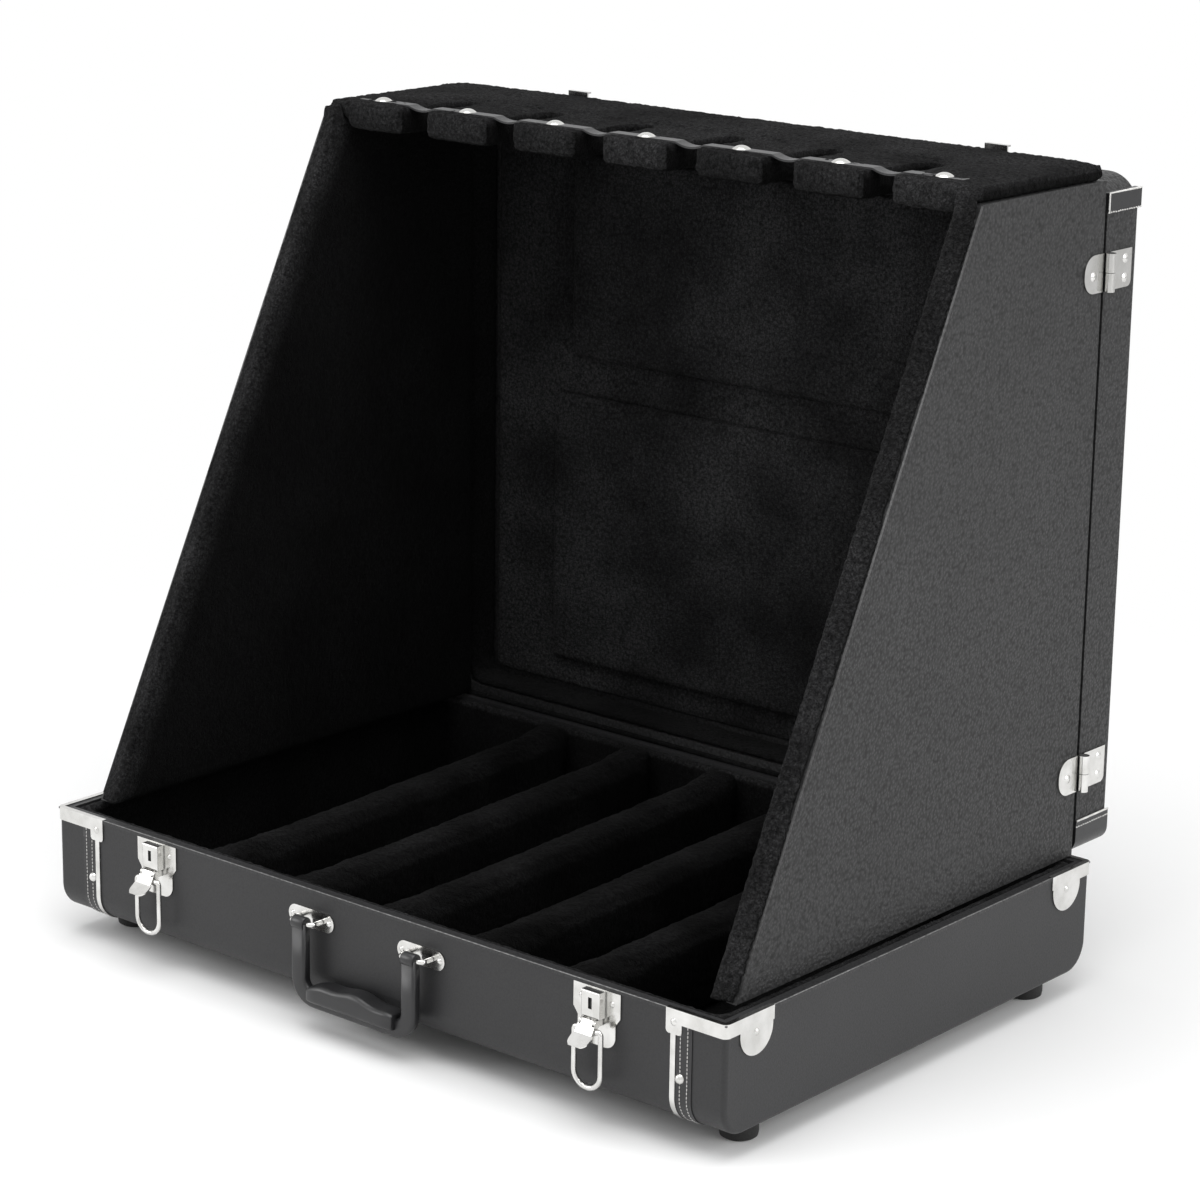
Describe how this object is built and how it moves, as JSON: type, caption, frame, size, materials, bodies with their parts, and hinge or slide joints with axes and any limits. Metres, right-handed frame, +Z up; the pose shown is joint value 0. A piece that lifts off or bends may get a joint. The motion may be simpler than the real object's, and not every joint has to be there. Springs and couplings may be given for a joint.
{
  "type": "guitar stand case",
  "caption": "Hard case that opens into a guitar rack: lined tray with padded slots, slanted side panels, back shell, notched neck rest, latches and handle.",
  "frame": {"origin": "on the floor under the middle of the box round the whole stand", "axes": "+X to the right seen from the front, +Y to the rear, +Z up"},
  "size_m": [0.7294, 0.5584, 0.6915],
  "materials": {
    "vinyl": "grained black vinyl over board",
    "plush": "black plush with a soft nap",
    "nickel": "polished nickel plate",
    "handle_plastic": "satin black moulded plastic",
    "foot_rubber": "matte black rubber",
    "strap_vinyl": "glossy black strap vinyl",
    "core_board": "plain plywood",
    "trim_band": "smooth black vinyl band"
  },
  "bodies": {
    "tray": {"tray_shell": "vinyl", "rim_edging": "vinyl", "tray_wall_lining": "plush", "tray_floor_lining": "plush", "divider_1": "plush", "divider_2": "plush", "divider_3": "plush", "divider_4": "plush", "divider_5": "plush", "corner_bracket_front_left": "nickel", "corner_bracket_front_right": "nickel", "corner_bracket_rear_left": "nickel", "corner_bracket_rear_right": "nickel", "foot_front_left": "foot_rubber", "foot_front_right": "foot_rubber", "foot_rear_left": "foot_rubber", "foot_rear_right": "foot_rubber", "foot_screws": "nickel", "end_strip_left": "nickel", "end_binding_left": "trim_band", "latch_plate_left": "nickel", "lock_box_left": "nickel", "handle_mount_left": "nickel", "end_strip_right": "nickel", "end_binding_right": "trim_band", "latch_plate_right": "nickel", "lock_box_right": "nickel", "handle_mount_right": "nickel", "tray_rivets": "nickel", "rear_hinge_tray_leaves": "nickel", "rear_hinge_pins": "nickel"},
    "back_shell": {"lid_shell": "vinyl", "lid_wall_lining": "plush", "lid_back_lining": "plush", "lid_back_pads": "plush", "lid_corner_trims": "trim_band", "catch_left": "nickel", "catch_right": "nickel", "lid_rivets": "nickel", "rear_hinge_lid_leaves": "nickel", "side_hinge_lid_leaves": "nickel"},
    "left_side_panel": {"left_panel": "vinyl", "left_panel_lining": "plush", "left_panel_hinge_leaves": "nickel", "left_panel_rivets": "nickel"},
    "right_side_panel": {"right_panel": "vinyl", "right_panel_lining": "plush", "right_panel_hinge_leaves": "nickel", "right_panel_rivets": "nickel"},
    "neck_rest": {"neck_rest_pad": "plush", "neck_rest_teeth": "plush", "neck_rest_board": "core_board", "neck_strap": "strap_vinyl", "strap_snaps": "nickel"},
    "handle": {"handle_bow": "handle_plastic", "handle_grip": "handle_plastic"},
    "left_lever": {"latch_lever_left": "nickel"},
    "right_lever": {"latch_lever_right": "nickel"},
    "left_bail": {"latch_bail_left": "nickel"},
    "right_bail": {"latch_bail_right": "nickel"}
  },
  "joints": [
    {"name": "lid_tilt", "type": "hinge", "parent": "tray", "child": "back_shell", "pos_m": [0, 0.2329, 0.1118], "axis": [-1, 0, 0], "range_deg": [0, 90]},
    {"name": "left_panel_swing", "type": "hinge", "parent": "back_shell", "child": "left_side_panel", "pos_m": [-0.35, 0.2322, 0.4125], "axis": [0, 0, -1], "range_deg": [0, 170]},
    {"name": "right_panel_swing", "type": "hinge", "parent": "back_shell", "child": "right_side_panel", "pos_m": [0.35, 0.2322, 0.4125], "axis": [0, 0, 1], "range_deg": [0, 170]},
    {"name": "neck_rest_lift", "type": "slide", "parent": "back_shell", "child": "neck_rest", "axis": [0, 0, 1], "range_m": [0, 0.12]},
    {"name": "handle_swing", "type": "hinge", "parent": "tray", "child": "handle", "pos_m": [0, -0.2643, 0.0885], "axis": [-1, 0, 0], "range_deg": [0, 110]},
    {"name": "left_lever_turn", "type": "hinge", "parent": "tray", "child": "left_lever", "pos_m": [-0.24, -0.2608, 0.0851], "axis": [-1, 0, 0], "range_deg": [0, 75]},
    {"name": "left_bail_swing", "type": "hinge", "parent": "left_lever", "child": "left_bail", "pos_m": [-0.24, -0.2628, 0.0799], "axis": [-1, 0, 0], "range_deg": [-5, 95]},
    {"name": "right_lever_turn", "type": "hinge", "parent": "tray", "child": "right_lever", "pos_m": [0.24, -0.2608, 0.0851], "axis": [-1, 0, 0], "range_deg": [0, 75]},
    {"name": "right_bail_swing", "type": "hinge", "parent": "right_lever", "child": "right_bail", "pos_m": [0.24, -0.2628, 0.0799], "axis": [-1, 0, 0], "range_deg": [-5, 95]}
  ]
}
